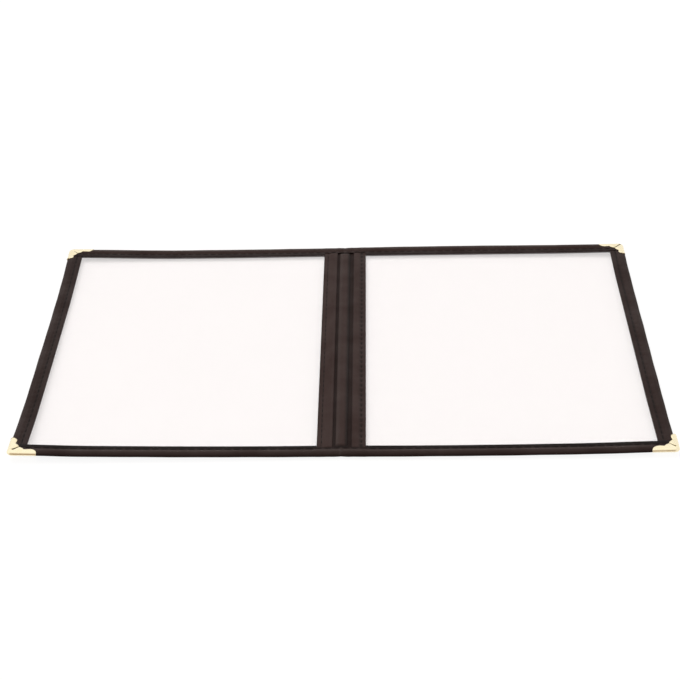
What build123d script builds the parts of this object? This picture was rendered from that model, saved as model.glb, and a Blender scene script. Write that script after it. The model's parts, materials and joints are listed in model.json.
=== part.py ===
from build123d import *
import os

os.makedirs("parts", exist_ok=True)

# An open menu cover of two leaves, lying flat with its inside faces up.
# X runs from the front leaf to the back leaf, Y from the bottom edge to the top edge.
# The origin is at the middle of the footprint, on the table. Sizes are in millimetres.

# Each leaf: a film window framed by leatherette
window_width = 206.0
window_height = 274.0
border_width = 11.8  # sewn edge tape, from the window to the outer edge
band_width = 11.25  # hemmed band, from the window to the pocket mouth
mouth_setback = 0.85  # from the fold line to the edge of the pocket mouth
fold_spacing = 10.8  # between the two fold lines beside the spine

# Thicknesses, stacked up and down from the middle of the pocket
strip_thickness = 0.3  # leatherette of the spine strip, whose two plies part the films
film_thickness = 0.25
tape_thickness = 0.4
pressed_thickness = 0.35  # ends of a tape or hem that another tape is sewn over
pressed_inset = 0.1  # how far the outer edge of such an end is drawn in
roll_rise = 0.5  # padding of the tape's rolled edge above a lapped stretch
hem_rise = 0.2  # padding of the hem beside the pocket mouth
metal_thickness = 0.4

# Tape, hem and seams
fold_wall = 1.6  # from the edge of the film to the outside of the tape's fold
edge_round = 0.2
mouth_round = 0.65
tape_seam = 3.9  # from the window to the seam in a tape
hem_seam = 3.3  # from the window to the seam in a hem
hem_stagger = 0.6  # between the seams of the two hems of a leaf
groove_width = 1.6
groove_depth = 0.15
thread_radius = 0.14
thread_bend = 0.3  # also the radius of the needle holes
thread_lift = 0.02  # clearance between thread and leatherette
seam_end = 1.2  # from the end of a window to the end of its seams
seam_setback = 0.9  # from the flat of a tape's end at a fold to the end of its seam
lap_step = 0.3  # from the end of a lap to where its thread comes down
lap_setback = 2.6  # from the window's line to the tape's inner edge over hems and strip

# Spine strip
margin_clearance = 0.8  # from the strip's tucked margin to the seam of the hem
fold_gap = 0.12  # from a fold line to the leatherette on each side of it
web_width = 1.0
web_slope = 1.3
filler_height = 0.75
strip_crown = 0.1
strip_spread = 0.1
pressed_web = 0.6
pressed_slope = 0.5

# Metal corners
corner_round = 4.0
corner_edge = 0.7
arm_length = 21.5
arm_bulge = 1.1
lobe_distance = 15.3
lobe_reach = 5.5
notch_distance = 12.2
notch_reach = 5.1
mitre_reach = 8.2
mitre_bulge = 0.45
slit_start = 3.6
slit_width = 0.9

# Heights from the middle of the pocket
gap_top = strip_thickness
film_top = gap_top + film_thickness
ledge_top = film_top + tape_thickness
hem_top = ledge_top + hem_rise
pressed_top = film_top + pressed_thickness
lap_top = pressed_top + tape_thickness
roll_top = lap_top + roll_rise
metal_top = roll_top + metal_thickness
middle = metal_top
pressed_filler = pressed_top - strip_thickness - strip_crown
low_thread = gap_top - thread_radius - thread_lift

# Places on the right-hand leaf, mirrored for the left-hand one
fold_x = fold_spacing / 2
window_in = fold_x + mouth_setback + band_width
window_out = window_in + window_width
edge_x = window_out + border_width
window_y = window_height / 2
edge_y = window_y + border_width
film_depth = border_width - fold_wall
film_in = fold_x + mouth_setback + tape_thickness
film_out = window_out + film_depth
film_y = window_y + film_depth
pressed_y = window_y + film_depth / 2
lap_y = window_y + lap_setback
under_lap_y = (lap_y + film_y) / 2
seam_x = window_out + tape_seam
seam_y = window_y + tape_seam
seam_stop = window_y - seam_end
lap_seam_in = fold_x + lap_top + seam_setback
lap_seam_out = window_out + seam_end
margin_end = window_in - hem_seam - hem_stagger - margin_clearance
spine_seam = fold_x - lap_top - seam_setback

leaves = {"front": -1, "back": 1}
ends = {"top": 1, "bottom": -1}
faces = {"inside": 1, "outside": -1}


def hem_seam_x(face):
    return window_in - hem_seam - (hem_stagger if face < 0 else 0)


def thread_top(top):
    return top - groove_depth + thread_lift + thread_radius


# Section planes, with local Y up from the middle of the pocket


def across(side, x, y):
    # of a piece that runs along Y, with local X towards the outer edge
    return Plane((side * x, y, middle), x_dir=(side, 0, 0), z_dir=(0, -side, 0))


def along(end, x, y):
    # of a piece that runs along X, with local X towards the outer edge
    return Plane((x, end * y, middle), x_dir=(0, end, 0), z_dir=(end, 0, 0))


def inwards(side, face, y):
    # of a hem, with local X from the window towards the spine and local Y outwards
    origin = (side * window_in, y, middle)
    return Plane(origin, x_dir=(-side, 0, 0), z_dir=(0, side * face, 0))


# Sections


def padded_face(start, seam, top, crest, crest_x, drop):
    # from the film up to a flat, through the seam's groove and over a padded edge
    rise = Line((start, film_top), (start, top - edge_round))
    rounding = JernArc(rise @ 1, (0, 1), edge_round, -90)
    groove_in, groove_out = seam - groove_width / 2, seam + groove_width / 2
    flat = Line(rounding @ 1, (groove_in, top))
    groove = ThreePointArc(flat @ 1, (seam, top - groove_depth), (groove_out, top))
    TangentArc((crest_x, crest), groove @ 1, tangent=(-1, 0))
    CenterArc((crest_x, crest - drop), drop, 0, 90)


def tape_section(inner, top, start=0):
    # tape folded round the outer edge, open towards the window
    with BuildLine() as outline:
        padded_face(start, tape_seam, top, roll_top, border_width - roll_top, roll_top)
        Line((start, 0), (start, film_top))
        mirror(about=Plane.XZ)
    make_face(outline.edges())
    with Locations((film_depth / 2, 0)):
        Rectangle(film_depth, 2 * inner, mode=Mode.SUBTRACT)


def pressed_tape_section():
    nose_x = border_width - pressed_inset - pressed_top
    with BuildLine() as outline:
        Polyline((0, 0), (0, pressed_top), (nose_x, pressed_top))
        CenterArc((nose_x, 0), pressed_top, 0, 90)
        mirror(about=Plane.XZ)
    make_face(outline.edges())
    with Locations((film_depth / 2, 0)):
        Rectangle(film_depth, 2 * film_top, mode=Mode.SUBTRACT)


def hem_section(face):
    # padded face of the hem, and its lip turned over the film's edge
    seam = window_in - hem_seam_x(face)
    lip_x = band_width - tape_thickness
    with BuildLine() as outline:
        padded_face(0, seam, ledge_top, hem_top, band_width - mouth_round, mouth_round)
        Polyline(
            (band_width, hem_top - mouth_round),
            (band_width, gap_top),
            (lip_x, gap_top),
            (lip_x, film_top),
            (0, film_top),
        )
    make_face(outline.edges())


def pressed_hem_section():
    lip_x = band_width - tape_thickness
    Polygon(
        (0, film_top),
        (0, pressed_top),
        (band_width, pressed_top),
        (band_width, gap_top),
        (lip_x, gap_top),
        (lip_x, film_top),
        align=None,
    )


def bow(foot, top, height, lift, spread):
    # the strip's line from one fold over the filler to the other fold
    tip = fold_x - fold_gap
    left, right = (-top - spread, height + lift), (top + spread, height + lift)
    Polyline((-tip, lift), (-foot - spread, lift), left)
    ThreePointArc(left, (0, height + lift + strip_crown), right)
    Polyline(right, (foot + spread, lift), (tip, lift))


def strip_section(foot, top, height):
    tip = fold_x - fold_gap
    with BuildLine() as outline:
        bow(foot, top, height, 0, 0)
        bow(foot, top, height, strip_thickness, strip_spread)
        Line((-tip, 0), (-tip, strip_thickness))
        Line((tip, 0), (tip, strip_thickness))
    make_face(outline.edges())


def filler_section(foot, top, height):
    with BuildLine() as outline:
        Line((-foot, 0), (-top, height))
        ThreePointArc((-top, height), (0, height + strip_crown), (top, height))
        Line((top, height), (foot, 0))
        mirror(about=Plane.XZ)
    make_face(outline.edges())


# Cuts that several pieces share


def clear_fold(side):
    # slope a leaf's end at the fold, so that it can swing a quarter turn each way
    far = 2 * edge_x
    with BuildSketch(across(side, fold_x, 0)) as kept:
        Polygon(
            (fold_gap, 0),
            (fold_gap + metal_top, metal_top),
            (far, metal_top),
            (far, -metal_top),
            (fold_gap + metal_top, -metal_top),
            align=None,
        )
    extrude(kept.sketch, amount=2 * edge_y, both=True, mode=Mode.INTERSECT)


def clear_both_folds():
    # the same for the spine, which lies between two folds
    tip = fold_x - fold_gap
    with BuildSketch(across(1, 0, 0)) as kept:
        Polygon((-tip, 0), (0, tip), (tip, 0), (0, -tip), align=None)
    extrude(kept.sketch, amount=2 * edge_y, both=True, mode=Mode.INTERSECT)


def trim_corners():
    # cut the outer corners off at 45 degrees, to fit inside the rounded metal corners
    with BuildSketch(Plane.XY) as kept:
        Rectangle(2 * edge_x, 2 * edge_y)
        chamfer(kept.vertices(), corner_round - metal_thickness)
    extrude(kept.sketch, amount=2 * middle, mode=Mode.INTERSECT)


def needle_holes(places):
    with Locations(*[(x, end * y, middle) for x, y in places for end in ends.values()]):
        Cylinder(thread_bend, 2 * metal_top, mode=Mode.SUBTRACT)


def tape_needles(side):
    return [
        (side * seam_x, seam_stop),
        (side * lap_seam_in, seam_y),
        (side * lap_seam_out, seam_y),
    ]


def hem_needles(side, face):
    return tape_needles(side) + [(side * hem_seam_x(face), seam_stop)]


spine_needles = [(-spine_seam, seam_y), (spine_seam, seam_y)]


def finish(part, label):
    part.part.label = label
    export_step(part.part, f"parts/{label}.step")


# Pieces of a leaf


def film(side, face, label):
    with BuildPart() as part:
        with BuildSketch(Plane.XY.offset(middle + face * gap_top)):
            with Locations((side * (film_in + film_out) / 2, 0)):
                Rectangle(film_out - film_in, 2 * film_y)
        extrude(amount=face * film_thickness)
        trim_corners()
        needle_holes(hem_needles(side, face))
    finish(part, label)


def edge_tape(side, label):
    with BuildPart() as part:
        with BuildSketch(across(side, window_out, 0)):
            tape_section(film_top, ledge_top)
        extrude(amount=window_y, both=True)
        for end in ends.values():
            with BuildSketch(across(side, window_out, end * pressed_y)):
                pressed_tape_section()
            extrude(amount=film_depth / 2, both=True)
        trim_corners()
        needle_holes(tape_needles(side))
    finish(part, label)


def leaf_tape(side, end, label):
    # tape along the top or bottom of a leaf, lapped over the hems and the edge tape
    with BuildPart() as part:
        with BuildSketch(along(end, side * (window_in + window_out) / 2, window_y)):
            tape_section(film_top, ledge_top)
        extrude(amount=window_width / 2, both=True)
        for start, stop, setback in ((fold_x, window_in, lap_setback), (window_out, edge_x, 0)):
            with BuildSketch(along(end, side * (start + stop) / 2, window_y)):
                tape_section(pressed_top, lap_top, setback)
            extrude(amount=(stop - start) / 2, both=True)
        clear_fold(side)
        trim_corners()
        needle_holes(tape_needles(side))
    finish(part, label)


def hem(side, face, label):
    with BuildPart() as part:
        with BuildSketch(inwards(side, face, 0)):
            hem_section(face)
        extrude(amount=lap_y, both=True)
        for end in ends.values():
            with BuildSketch(inwards(side, face, end * under_lap_y)):
                pressed_hem_section()
            extrude(amount=(film_y - lap_y) / 2, both=True)
        clear_fold(side)
        needle_holes(hem_needles(side, face))
    finish(part, label)


def spine_margin(side, label):
    # the margin of the spine strip that is tucked in at the pocket mouth
    with BuildPart() as part:
        with BuildSketch(Plane.XY.offset(middle)):
            with Locations((side * (fold_x + margin_end) / 2, 0)):
                Rectangle(margin_end - fold_x, 2 * film_y)
        extrude(amount=gap_top, both=True)
        clear_fold(side)
        needle_holes(tape_needles(side))
    finish(part, label)


# Metal corners


def corner_plane(side, end):
    # local X and Y run from the outer corner along the two arms
    corner_x, corner_y = edge_x + metal_thickness, edge_y + metal_thickness
    x_dir = (-side, 0, 0) if side == end else (0, -end, 0)
    return Plane((side * corner_x, end * corner_y, middle), x_dir=x_dir, z_dir=(0, 0, 1))


def beside(a, b, bulge):
    # point to the right of the middle of the line from a to b
    a, b = Vector(*a), Vector(*b)
    return (a + b) / 2 - (b - a).normalized().rotate(Axis.Z, 90) * bulge


def metal_corner(side, end, label):
    # stamped sheet, whole below, and two flaps above that meet at a mitre
    tip, lobe = (arm_length, 0), (lobe_distance, lobe_reach)
    notch, mitre = (notch_distance, notch_reach), (mitre_reach, mitre_reach)
    round_middle = corner_round * (1 - 0.5**0.5)
    inner = 2 * arm_length
    plane = corner_plane(side, end)
    with BuildPart() as part:
        with BuildSketch(plane):
            with BuildLine():
                ThreePointArc(tip, beside(tip, lobe, arm_bulge), lobe)
                Line(lobe, notch)
                ThreePointArc(notch, beside(notch, mitre, mitre_bulge), mitre)
                Line((corner_round, 0), tip)
                RadiusArc((round_middle, round_middle), (corner_round, 0), -corner_round)
                mirror(about=Plane((0, 0, 0), x_dir=(1, 1, 0), z_dir=(1, -1, 0)))
            make_face()
        extrude(amount=metal_top, both=True)
        outermost = -1 if end > 0 else 0
        fillet(part.edges().filter_by(Axis.X).group_by(Axis.Y)[outermost], corner_edge)
        with BuildSketch(plane):
            with BuildLine():
                FilletPolyline(
                    (inner, metal_thickness),
                    (metal_thickness, metal_thickness),
                    (metal_thickness, inner),
                    radius=corner_round - metal_thickness,
                )
                Polyline((metal_thickness, inner), (inner, inner), (inner, metal_thickness))
            make_face()
        extrude(amount=roll_top, both=True, mode=Mode.SUBTRACT)
        with BuildSketch(plane):
            Polygon(
                (slit_start, slit_start),
                (mitre_reach + slit_width, mitre_reach),
                (mitre_reach, mitre_reach + slit_width),
                align=None,
            )
        extrude(amount=2 * metal_top, mode=Mode.SUBTRACT)
    finish(part, label)


# Threads: each seam is one closed loop, an upper and a lower run joined through the
# needle holes at its ends


def thread(points, plane, label):
    with BuildPart() as part:
        with BuildLine(plane) as path:
            FilletPolyline(*points, radius=thread_bend, close=True)
        with BuildSketch(Plane(path.line @ 0, z_dir=path.line % 0)):
            Circle(thread_radius)
        sweep(path=path.line)
    finish(part, label)


def straight_thread(reach, low, high, plane, label):
    thread([(-reach, low), (reach, low), (reach, high), (-reach, high)], plane, label)


def edge_thread(side, label):
    high = thread_top(ledge_top)
    straight_thread(seam_stop, -high, high, across_seam(side * seam_x, 1), label)


def hem_thread(side, face, label):
    plane = across_seam(side * hem_seam_x(face), face)
    straight_thread(seam_stop, low_thread, thread_top(ledge_top), plane, label)


def across_seam(x, face):
    return Plane((x, 0, middle), x_dir=(0, 1, 0), z_dir=(face, 0, 0))


def tape_thread(side, end, label):
    low, high = thread_top(ledge_top), thread_top(lap_top)
    step = lap_step + high - low + 2 * thread_bend
    run = [
        (lap_seam_in, high),
        (window_in + lap_step, high),
        (window_in + step, low),
        (window_out - step, low),
        (window_out - lap_step, high),
        (lap_seam_out, high),
    ]
    plane = Plane((0, end * seam_y, middle), x_dir=(side, 0, 0), z_dir=(0, -side, 0))
    thread(run + [(x, -z) for x, z in reversed(run)], plane, label)


def spine_thread(end, label):
    high = thread_top(lap_top)
    plane = Plane((0, end * seam_y, middle), x_dir=(1, 0, 0), z_dir=(0, -1, 0))
    straight_thread(spine_seam, -high, high, plane, label)


# Pieces of the spine


def spine_zones():
    # middle, half length and section sizes of the bowed stretch and its pressed ends
    shoulder = fold_x - web_width
    pressed_shoulder = fold_x - pressed_web
    pressed = (pressed_shoulder, pressed_shoulder - pressed_slope, pressed_filler)
    yield 0, lap_y, (shoulder, shoulder - web_slope, filler_height)
    for end in ends.values():
        yield end * under_lap_y, (film_y - lap_y) / 2, pressed


def spine_strip(face, label):
    # one ply of the strip, bowed over the filler and flat beside the folds
    with BuildPart() as part:
        for y, reach, sizes in spine_zones():
            with BuildSketch(Plane((0, y, middle), x_dir=(face, 0, 0), z_dir=(0, -1, 0))):
                strip_section(*sizes)
            extrude(amount=reach, both=True)
        clear_both_folds()
        needle_holes(spine_needles)
    finish(part, label)


def spine_filler(label):
    with BuildPart() as part:
        for y, reach, sizes in spine_zones():
            with BuildSketch(across(1, 0, y)):
                filler_section(*sizes)
            extrude(amount=reach, both=True)
        needle_holes(spine_needles)
    finish(part, label)


def spine_tape(end, label):
    # stretch of the top or bottom tape between the folds
    with BuildPart() as part:
        with BuildSketch(along(end, 0, window_y)):
            tape_section(pressed_top, lap_top, lap_setback)
        extrude(amount=fold_x, both=True)
        clear_both_folds()
        needle_holes(spine_needles)
    finish(part, label)


for leaf, side in leaves.items():
    edge_tape(side, f"{leaf}_edge_tape")
    edge_thread(side, f"{leaf}_edge_thread")
    spine_margin(side, f"{leaf}_spine_margin")
    for name, face in faces.items():
        film(side, face, f"{leaf}_{name}_film")
        hem(side, face, f"{leaf}_{name}_hem")
        hem_thread(side, face, f"{leaf}_{name}_hem_thread")
    for name, end in ends.items():
        leaf_tape(side, end, f"{leaf}_{name}_tape")
        tape_thread(side, end, f"{leaf}_{name}_thread")
        metal_corner(side, end, f"{leaf}_{name}_corner")

spine_filler("spine_filler")
for name, face in faces.items():
    spine_strip(face, f"spine_{name}_strip")
for name, end in ends.items():
    spine_tape(end, f"spine_{name}_tape")
    spine_thread(end, f"spine_{name}_thread")
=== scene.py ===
import json
import math

import bpy
import numpy as np
from mathutils import Matrix, Vector


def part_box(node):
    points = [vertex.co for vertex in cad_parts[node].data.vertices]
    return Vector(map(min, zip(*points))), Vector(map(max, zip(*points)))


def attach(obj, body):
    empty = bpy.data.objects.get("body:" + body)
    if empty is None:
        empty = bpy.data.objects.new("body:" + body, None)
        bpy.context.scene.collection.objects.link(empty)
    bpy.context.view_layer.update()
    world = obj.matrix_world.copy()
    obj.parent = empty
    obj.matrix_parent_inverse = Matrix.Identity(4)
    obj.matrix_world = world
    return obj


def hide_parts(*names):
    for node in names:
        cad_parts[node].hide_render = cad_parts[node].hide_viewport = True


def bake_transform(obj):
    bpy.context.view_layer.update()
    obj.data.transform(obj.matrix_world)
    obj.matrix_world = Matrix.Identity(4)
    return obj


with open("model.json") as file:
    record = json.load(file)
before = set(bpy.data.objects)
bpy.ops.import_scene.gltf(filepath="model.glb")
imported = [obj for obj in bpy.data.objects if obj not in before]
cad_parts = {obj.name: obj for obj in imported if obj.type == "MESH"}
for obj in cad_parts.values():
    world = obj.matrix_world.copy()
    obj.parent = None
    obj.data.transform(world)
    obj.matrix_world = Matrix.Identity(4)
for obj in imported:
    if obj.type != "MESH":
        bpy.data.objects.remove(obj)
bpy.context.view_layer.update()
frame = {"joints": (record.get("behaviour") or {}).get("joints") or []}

# An open menu cover: two clear pockets bound in leatherette, a padded spine strip between
# them, and stamped brass corners. Lengths are in millimetres until a mesh is made.

scene = bpy.context.scene
mm = 0.001
seed = 7


def corner(node, high):
    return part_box(node)[high] / mm


def middleOf(node, axis):
    return (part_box(node)[0][axis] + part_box(node)[1][axis]) / 2 / mm


# Places on the right-hand leaf, read from the frame
foldX = abs(frame["joints"][0]["pos_m"][0]) / mm
middleZ = frame["joints"][0]["pos_m"][2] / mm
windowOut, edgeX = corner("back_edge_tape", 0).x, corner("back_edge_tape", 1).x
edgeY = corner("back_top_tape", 1).y
tapeWidth = edgeX - windowOut
windowY = edgeY - tapeWidth
mouthX, windowIn = corner("back_inside_hem", 0).x, corner("back_inside_hem", 1).x
filmIn, filmOut = corner("back_inside_film", 0).x, corner("back_inside_film", 1).x
filmY = corner("back_inside_film", 1).y
gapTop = corner("back_inside_film", 0).z - middleZ
filmTop = corner("back_inside_film", 1).z - middleZ
rollTop = corner("back_top_tape", 1).z - middleZ
metalTop = corner("back_top_corner", 1).z - middleZ
metalX, metalY = corner("back_top_corner", 1).x, corner("back_top_corner", 1).y
marginEnd = corner("back_spine_margin", 1).x
edgeSeamX = middleOf("back_edge_thread", 0)
tapeSeamY = middleOf("back_top_thread", 1)
hemSeamX = {face: middleOf(f"back_{face}_hem_thread", 0) for face in ("inside", "outside")}
seamStopX = corner("back_top_thread", 1).x
seamStopY = corner("back_edge_thread", 1).y

sides = {"front": -1, "back": 1}
ends = {"top": 1, "bottom": -1}
faces = {"inside": 1, "outside": -1}
print("frame loaded, window", round(windowOut - windowIn), "x", round(2 * windowY), "mm")


# The cover has taken a slight curl in use, which lifts the outer corners of its leaves
curl = {
    ("front", "bottom"): 2.4,
    ("front", "top"): 0.0,
    ("back", "bottom"): 1.0,
    ("back", "top"): 0.8,
    "bend": 1.5,
}
# what each corner does on its own: lift, outwards along x, outwards along y, and how far in it reaches
cornerPull = {
    ("front", "bottom"): (0.2, 0.7, -1.1, 60),
    ("front", "top"): (1.3, 0.55, 0, 95),
    ("back", "bottom"): (0.1, 0.6, -1.1, 75),
    ("back", "top"): (0.5, 0.6, 0, 60),
}


def lift(x, y):
    out = np.clip((np.abs(x) - foldX) / (edgeX - foldX), 0, None) ** curl["bend"]
    up = np.clip((y + edgeY) / (2 * edgeY), 0, 1)
    front = curl["front", "bottom"] * (1 - up) + curl["front", "top"] * up
    back = curl["back", "bottom"] * (1 - up) + curl["back", "top"] * up
    return out * np.where(x < 0, front, back)


def step(value, low, high):
    t = np.clip((value - low) / (high - low), 0, 1)
    return t * t * (3 - 2 * t)


def stepAt(value, place, run):
    # a step that starts and ends at two distances from a place
    return step(value, place + run[0], place + run[1])


def hump(value, width):
    return np.exp(-((value / width) ** 2))


def waves(s, sizes, phase):
    # a slow wander made of a few sines, from -1 to 1
    total = sum(np.sin(2 * math.pi * s / size + phase * (i + 1.7)) for i, size in enumerate(sizes))
    return total / len(sizes)


# Meshes


def addObject(name, data):
    thing = bpy.data.objects.new(name, data)
    scene.collection.objects.link(thing)
    return thing


def facesOut(mesh):
    # turn a closed mesh the right way round if its volume comes out negative
    mesh.calc_loop_triangles()
    corners = np.empty(len(mesh.loop_triangles) * 3, np.int32)
    mesh.loop_triangles.foreach_get("vertices", corners)
    points = np.empty(len(mesh.vertices) * 3)
    mesh.vertices.foreach_get("co", points)
    a, b, c = points.reshape(-1, 3)[corners.reshape(-1, 3)].transpose(1, 0, 2)
    if np.einsum("ij,ij->i", a, np.cross(b, c)).sum() < 0:
        mesh.flip_normals()


def makePiece(name, points, quads, material, marks, sharp):
    # points in millimetres from the origin on the table
    mesh = bpy.data.meshes.new(name)
    mesh.from_pydata((points * mm).tolist(), [], quads)
    for mark, values in marks.items():
        attribute = mesh.attributes.new(mark, "FLOAT", "POINT")
        attribute.data.foreach_set("value", values.astype(np.float32).ravel())
    facesOut(mesh)
    mesh.shade_smooth()
    mesh.set_sharp_from_angle(angle=math.radians(sharp))
    mesh.materials.append(material)
    return addObject(name, mesh)


def thickSheet(name, outer, inner, material, marks=None, sharp=35, within=0):
    # a closed shell between two grids of points that match row by row
    rows, columns = outer.shape[:2]
    points = np.concatenate([outer.reshape(-1, 3), inner.reshape(-1, 3)])
    half = rows * columns

    def at(row, column, side):
        return side * half + row * columns + column

    quads = []
    for r in range(rows - 1):
        for c in range(columns - 1):
            quads.append((at(r, c, 0), at(r + 1, c, 0), at(r + 1, c + 1, 0), at(r, c + 1, 0)))
            quads.append((at(r, c, 1), at(r, c + 1, 1), at(r + 1, c + 1, 1), at(r + 1, c, 1)))
        for c, turn in ((0, 1), (columns - 1, -1)):
            rim = (at(r, c, 0), at(r, c, 1), at(r + 1, c, 1), at(r + 1, c, 0))
            quads.append(rim[::turn])
    for c in range(columns - 1):
        for r, turn in ((0, -1), (rows - 1, 1)):
            rim = (at(r, c, 0), at(r, c, 1), at(r, c + 1, 1), at(r, c + 1, 0))
            quads.append(rim[::turn])
    both = {k: np.concatenate([v.ravel(), np.full(half, within)]) for k, v in (marks or {}).items()}
    return makePiece(name, points, quads, material, both, sharp)


def place(x, y, v):
    # heights are measured from the middle of the pocket
    x, y, v = np.broadcast_arrays(x, y, v)
    spot = np.stack([x, y, middleZ + v + lift(x, y)], axis=-1)
    for (leaf, end), (up, outX, outY, reach) in cornerPull.items():
        away = np.hypot(x - sides[leaf] * edgeX, y - ends[end] * edgeY)
        near = 1 - step(away, 0, reach)
        spot = spot + near[..., None] * (sides[leaf] * outX, ends[end] * outY, up)
    return spot


def stationsAlong(spacing):
    return np.linspace(-filmY, filmY, round(2 * filmY / spacing) + 1)


# Node trees


def feed(tree, node, sources):
    # sources are values or other nodes' outputs, by the name or number of the socket they go into,
    # and the node stands to the right of those that feed it
    for key, source in sources.items():
        if isinstance(source, bpy.types.NodeSocket):
            tree.links.new(source, node.inputs[key])
            node.location.x = max(node.location.x, source.node.location.x + 180)
        else:
            node.inputs[key].default_value = source


def newNode(tree, kind, sources=None, **settings):
    node = tree.nodes.new(kind)
    node.location = (-1400, -160 * (len(tree.nodes) % 8))
    for key, value in settings.items():
        setattr(node, key, value)
    feed(tree, node, sources or {})
    return node


def newMath(tree, operation, a, b=None):
    sources = {0: a} if b is None else {0: a, 1: b}
    return newNode(tree, "ShaderNodeMath", sources, operation=operation).outputs[0]


def joinAxes(tree, **parts):
    return newNode(tree, "ShaderNodeCombineXYZ", parts).outputs[0]


def splitAxes(tree, vector):
    return newNode(tree, "ShaderNodeSeparateXYZ", {0: vector}).outputs


def noise(tree, point, scale, detail):
    sources = {"Vector": point, "Scale": scale, "Detail": detail}
    return newNode(tree, "ShaderNodeTexNoise", sources).outputs["Fac"]


def mixColor(tree, factor, a, b):
    sources = {"Factor": factor, "A": a, "B": b}
    return newNode(tree, "ShaderNodeMix", sources, data_type="RGBA").outputs["Result"]


def spread(tree, value, low, high, source=(0, 1)):
    names = ("Value", "From Min", "From Max", "To Min", "To Max")
    sources = dict(zip(names, (value, *source, low, high)))
    return newNode(tree, "ShaderNodeMapRange", sources).outputs["Result"]


def readMark(tree, name):
    return newNode(tree, "ShaderNodeAttribute", attribute_name=name).outputs["Fac"]


def objectPoint(tree):
    return newNode(tree, "ShaderNodeTexCoord").outputs["Object"]


def socketGroup(name, kind, inputs, outputs):
    # a number's type sets its socket's type, and the others are named after theirs
    tree = bpy.data.node_groups.new(name, kind)
    for label, value in inputs.items():
        sort = {float: "Float", int: "Int"}.get(type(value), label)
        socket = tree.interface.new_socket(label, in_out="INPUT", socket_type=f"NodeSocket{sort}")
        if value is not None:
            socket.default_value = value
    for label, sort in outputs.items():
        tree.interface.new_socket(label, in_out="OUTPUT", socket_type=f"NodeSocket{sort}")
    start = newNode(tree, "NodeGroupInput")
    return tree, start.outputs, newNode(tree, "NodeGroupOutput")


# Materials


def newMaterial(name):
    material = bpy.data.materials.new(name)
    material.use_nodes = True
    return material, material.node_tree, material.node_tree.nodes["Principled BSDF"]


def addBump(tree, shader, height, distance):
    bump = newNode(tree, "ShaderNodeBump", {"Distance": distance, "Height": height})
    feed(tree, shader, {"Normal": bump.outputs["Normal"]})


leather = {
    "dark": (0.0285, 0.0152, 0.0131, 1),
    "light": (0.0365, 0.0209, 0.0182, 1),
    # the seam colour darkens needle lines, and paints shade in ledges, grooves, creases and folds
    "seam": (0.0048, 0.0024, 0.002, 1),
    # the colour of painted highlights on crests, rims and puffs
    "highlit": (0.046, 0.0325, 0.029, 1),
    "roughness": (0.5, 0.64),
    "specular": 0.11,
    "cell": 0.62,  # size of a pebble of the grain
    "cellSmoothness": 0.5,
    "speckScale": 3.1,  # times as fine as the pebbles
    "driftScale": 45,
    "driftRange": (0.35, 0.65),
    "grainDepth": 0.00007,
}


def makeGrainGroup():
    # fine pebbled grain with a soft drift of tone
    inputs, outputs = {"Vector": None, "Cell": 0.7, "Fine": 0.3}, {"Height": "Float", "Tone": "Float"}
    tree, start, stop = socketGroup("fineGrain", "ShaderNodeTree", inputs, outputs)
    point = start["Vector"]
    scale = newMath(tree, "DIVIDE", 1000, start["Cell"])
    fineScale = newMath(tree, "MULTIPLY", scale, leather["speckScale"])
    sources = {"Vector": point, "Scale": scale, "Smoothness": leather["cellSmoothness"]}
    cells = newNode(tree, "ShaderNodeTexVoronoi", sources, feature="SMOOTH_F1")
    pebble = newMath(tree, "SUBTRACT", 1, cells.outputs["Distance"])
    fine = noise(tree, point, fineScale, 3)
    speck = newMath(tree, "MULTIPLY", fine, start["Fine"])
    height = newMath(tree, "ADD", pebble, speck)
    feed(tree, stop, {"Height": height, "Tone": noise(tree, point, leather["driftScale"], 4)})
    return tree


grainGroup = makeGrainGroup()


def placeGrain(tree, cell):
    sources = {"Cell": cell, "Vector": objectPoint(tree)}
    return newNode(tree, "ShaderNodeGroup", sources, node_tree=grainGroup).outputs


def leatherMaterial(name, tint=1.0, highlightShare=0.5, gloss=1.0):
    # tint paints light and shade: it makes a piece slightly lighter or darker than its neighbours, as
    # the light falls on it
    material, tree, shader = newMaterial(name)
    grain = placeGrain(tree, leather["cell"])
    tone = spread(tree, grain["Tone"], 0, 1, leather["driftRange"])
    dark, light = ([c * tint for c in leather[k][:3]] + [1] for k in ("dark", "light"))
    color = mixColor(tree, tone, dark, light)
    # painted highlight where the highlight mark is set
    highlit = newMath(tree, "MULTIPLY", readMark(tree, "highlight"), highlightShare)
    color = mixColor(tree, highlit, color, leather["highlit"])
    # dark needle lines, and painted shade in ledges, grooves and folds
    color = mixColor(tree, readMark(tree, "seam"), color, leather["seam"])
    low, high = leather["roughness"]
    rough = spread(tree, grain["Tone"], high, low, leather["driftRange"])
    specular = leather["specular"] * gloss
    feed(tree, shader, {"Base Color": color, "Roughness": rough, "Specular IOR Level": specular})
    addBump(tree, shader, grain["Height"], leather["grainDepth"])
    return material


film = {
    "color": (0.86, 0.8, 0.8, 1),
    "alpha": 0.06,
    "roughness": (0.084, 0.168),
    "hazeScale": 14,
    "hazeLift": 1.06,
    "slack": 0.02,  # how much thinner a film is than the room between its neighbours
    "rippleHeight": 0.35,
    "rippleSize": 48,
    "border": 14,
    "columns": 110,
    "rows": 130,
}


def filmMaterial():
    material, tree, shader = newMaterial("clearFilm")
    haze = noise(tree, objectPoint(tree), film["hazeScale"], 3)
    whiter = [min(1, c * film["hazeLift"]) for c in film["color"][:3]] + [1]
    color = mixColor(tree, haze, film["color"], whiter)
    rough = spread(tree, haze, *film["roughness"])
    feed(tree, shader, {"Base Color": color, "Roughness": rough, "Alpha": film["alpha"]})
    return material


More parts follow.
